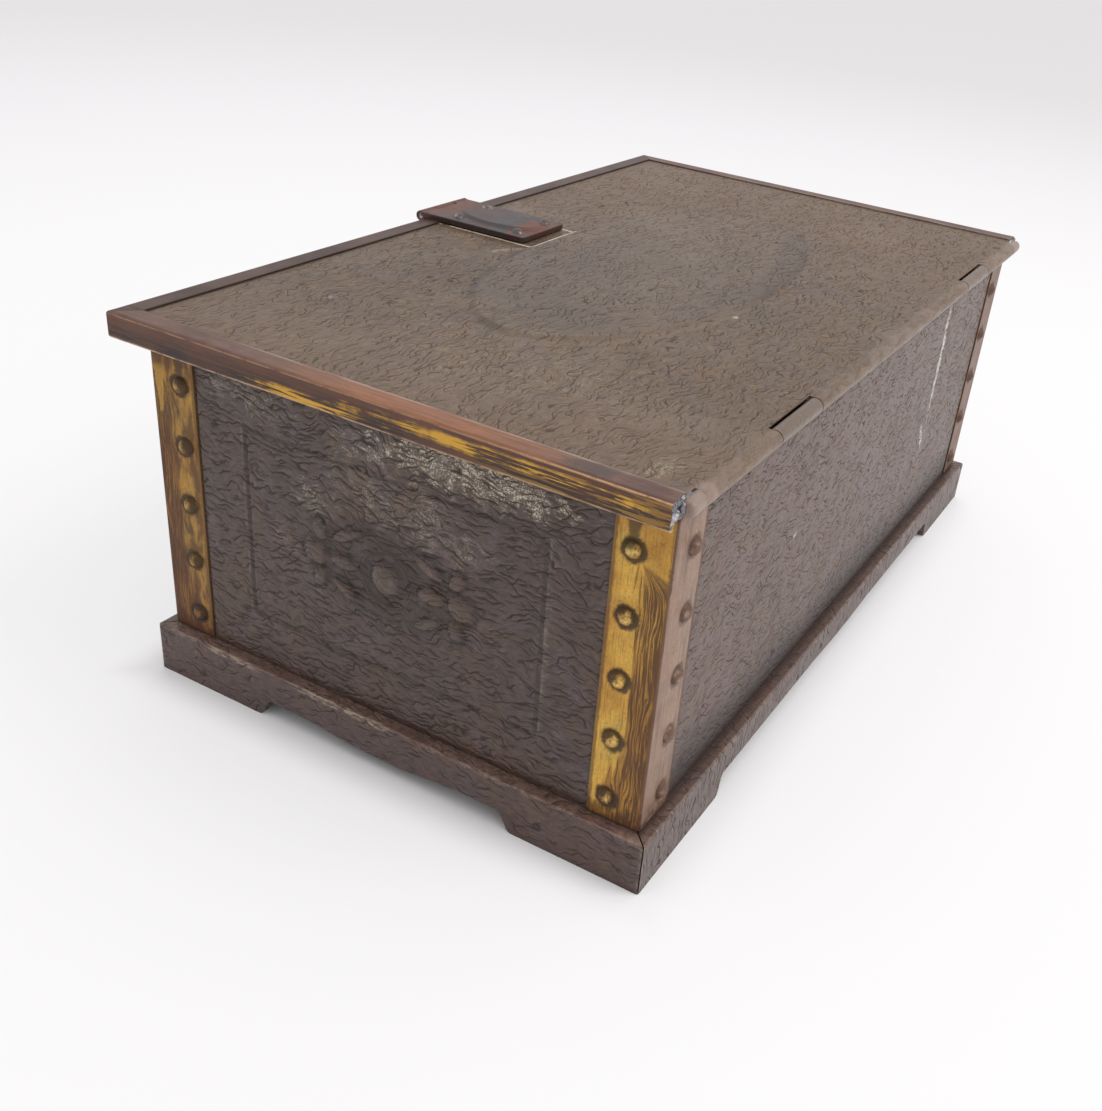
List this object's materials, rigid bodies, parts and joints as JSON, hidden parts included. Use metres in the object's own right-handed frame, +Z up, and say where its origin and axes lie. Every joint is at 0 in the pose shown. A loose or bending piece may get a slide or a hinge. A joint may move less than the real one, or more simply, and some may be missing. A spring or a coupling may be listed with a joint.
{
  "type": "metal storage box",
  "caption": "Small lidded metal storage box with a cut-out plinth, studded corner straps, a wire-hinged lid and a hasp that drops over a staple.",
  "frame": {"origin": "on the surface that the box stands on, under the middle of its bounding box", "axes": "+X along the box to its right end as seen from the hasp side, +Y towards the hinge side, +Z up"},
  "size_m": [0.3146, 0.191, 0.1251],
  "materials": {
    "wall_lacquer": "worn dark lacquer with pressed wrinkle relief",
    "lid_lacquer": "worn taupe lacquer with pressed wrinkle relief",
    "plinth_lacquer": "worn dark brown lacquer",
    "strap_brass": "aged brass colour with brown streaks",
    "trim_copper": "darkened copper colour with gold streaks",
    "tray_tin": "plain dull tinplate",
    "hinge_steel": "dull steel wire",
    "hasp_iron": "dark iron with rust",
    "rivet_steel": "dull steel"
  },
  "bodies": {
    "box": {"body_front_wall": "wall_lacquer", "body_back_wall": "wall_lacquer", "body_right_end_wall": "wall_lacquer", "body_left_end_wall": "wall_lacquer", "body_bottom": "tray_tin", "corner_strap_rear_right": "strap_brass", "corner_strap_front_right": "strap_brass", "corner_strap_rear_left": "strap_brass", "corner_strap_front_left": "strap_brass", "plinth_front": "plinth_lacquer", "plinth_back": "plinth_lacquer", "plinth_right": "plinth_lacquer", "plinth_left": "plinth_lacquer", "hinge_wire": "hinge_steel", "staple_plate": "hasp_iron", "staple": "hinge_steel", "staple_plate_rivets": "rivet_steel"},
    "lid": {"lid_panel": "lid_lacquer", "lid_front_trim": "trim_copper", "lid_right_trim": "trim_copper", "lid_left_trim": "trim_copper", "hasp_plate": "hasp_iron", "hasp_plate_rivets": "rivet_steel", "hasp_pin": "rivet_steel"},
    "hasp": {"hasp_strap": "hasp_iron"}
  },
  "joints": [
    {"name": "lid_hinge", "type": "hinge", "parent": "box", "child": "lid", "pos_m": [0, 0.09298, 0.11892], "axis": [-1, 0, 0], "range_deg": [0, 180]},
    {"name": "hasp_hinge", "type": "hinge", "parent": "lid", "child": "hasp", "pos_m": [-0.0018, -0.09137, 0.1222], "axis": [-1, 0, 0], "range_deg": [-13.8, 160]}
  ]
}
